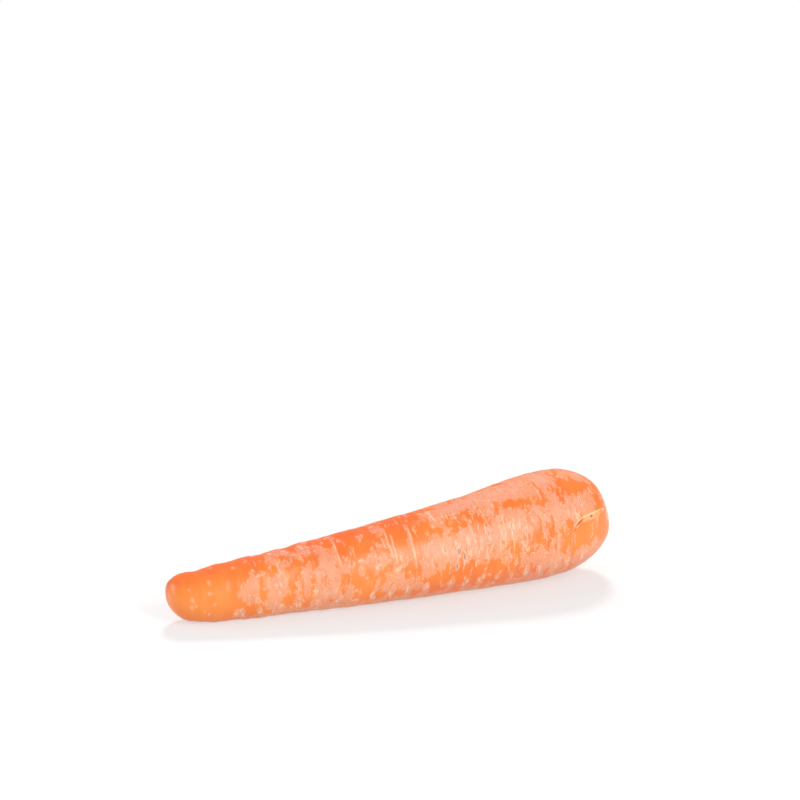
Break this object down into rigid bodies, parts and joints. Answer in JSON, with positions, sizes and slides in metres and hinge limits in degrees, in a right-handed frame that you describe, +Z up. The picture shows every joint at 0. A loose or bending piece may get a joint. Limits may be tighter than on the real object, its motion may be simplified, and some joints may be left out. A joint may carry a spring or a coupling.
{
  "type": "carrot",
  "caption": "Fresh topped carrot: a blunt, tapering root with a round shoulder, a shallow crown scar and dry pale skin patches, lying on its side.",
  "frame": {"origin": "on the surface that the carrot lies on, under the middle of its box", "axes": "+X along the root from the blunt tip to the crown, +Y to the side that both ends sweep towards, +Z up"},
  "size_m": [0.1776, 0.0418, 0.0415],
  "materials": {
    "carrot_skin": "fresh washed carrot skin, orange with dry pale patches, soft satin"
  },
  "bodies": {
    "root": {"carrot_root": "carrot_skin"}
  },
  "joints": []
}
